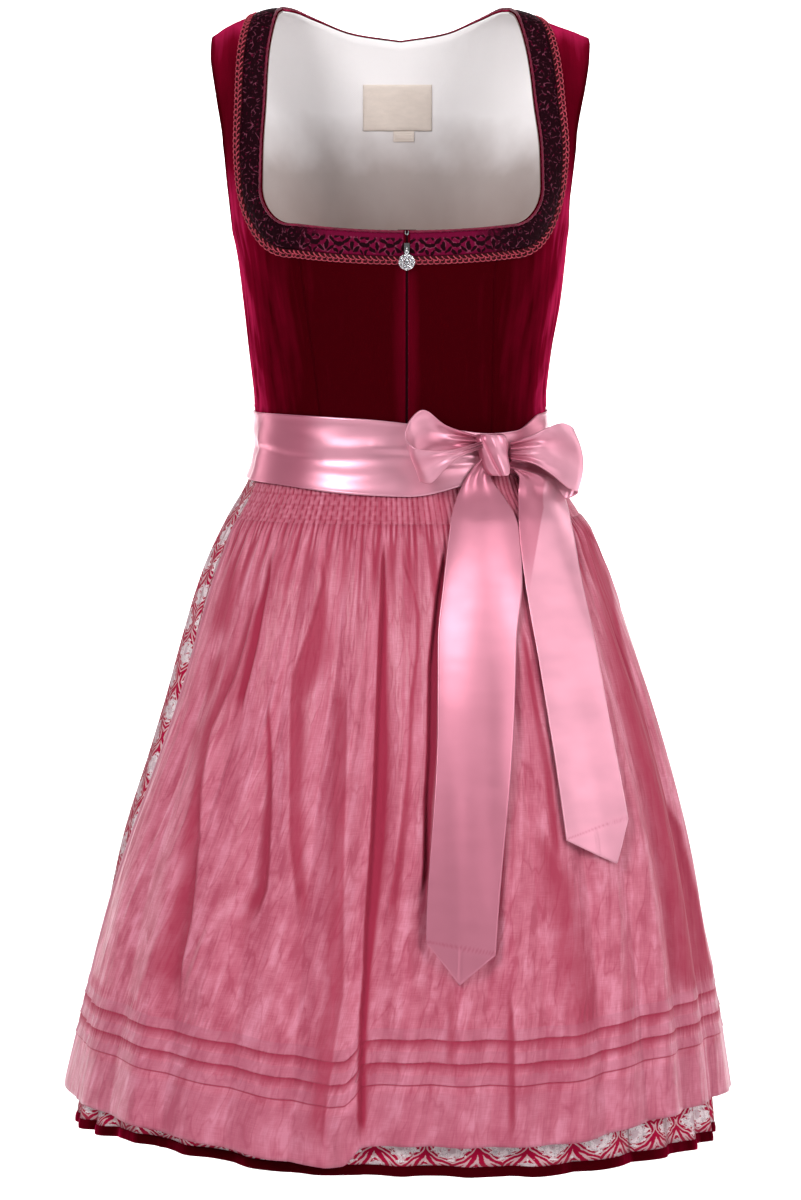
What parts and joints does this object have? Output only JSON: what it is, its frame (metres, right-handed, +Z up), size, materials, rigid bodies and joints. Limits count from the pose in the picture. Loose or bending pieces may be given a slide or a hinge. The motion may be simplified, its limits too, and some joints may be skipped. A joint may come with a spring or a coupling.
{
  "type": "dirndl",
  "caption": "Knee-length dirndl as worn: dark red velvet bodice with square neck, pleated print skirt, pink half apron with tucks, satin sash tied in a bow",
  "frame": {"origin": "middle of the line between the two shoulders, where the wearer holds the dress up", "axes": "+Z up, +X to the viewer's right, the front faces -Y, metres"},
  "size_m": [0.6002, 0.4872, 1.0191],
  "materials": {
    "velvet": "deep red velvet pile with a raspberry sheen",
    "lining": "pale twill, matt",
    "label": "cream woven ribbon, blank",
    "dark_trim": "near black leaf pattern on raspberry, satin binding",
    "gimp": "rose scroll braid of twisted cord",
    "zip_tape": "dark woven tape",
    "silver": "bright silver",
    "print": "pale ground with a red scrolling trellis and grey pink flowers",
    "apron_cloth": "thin dusty pink taffeta with a soft shine",
    "satin": "glossy pink satin ribbon"
  },
  "bodies": {
    "garment": {"bodice_front_left": "velvet", "bodice_front_right": "velvet", "bodice_side_left": "velvet", "bodice_side_right": "velvet", "bodice_back": "velvet", "lining_left": "lining", "lining_right": "lining", "lining_back": "lining", "label": "label", "neck_trim": "dark_trim", "gimp_braid": "gimp", "zip": "zip_tape", "zip_slider": "silver", "neck_hook": "silver", "skirt_front": "print", "skirt_right": "print", "skirt_back": "print", "skirt_left": "print", "skirt_hem_band": "velvet", "apron_smocking": "apron_cloth", "apron_panel": "apron_cloth", "sash": "satin", "bow_knot": "satin", "bow_loop_left": "satin", "bow_loop_right": "satin", "bow_tail_left": "satin", "bow_tail_right": "satin"},
    "zip_pull": {"zip_pull": "silver"}
  },
  "joints": [
    {"name": "pull_swing", "type": "hinge", "parent": "garment", "child": "zip_pull", "pos_m": [0.00551, -0.13365, -0.20844], "axis": [-1, 0, 0], "range_deg": [0, 150]}
  ]
}
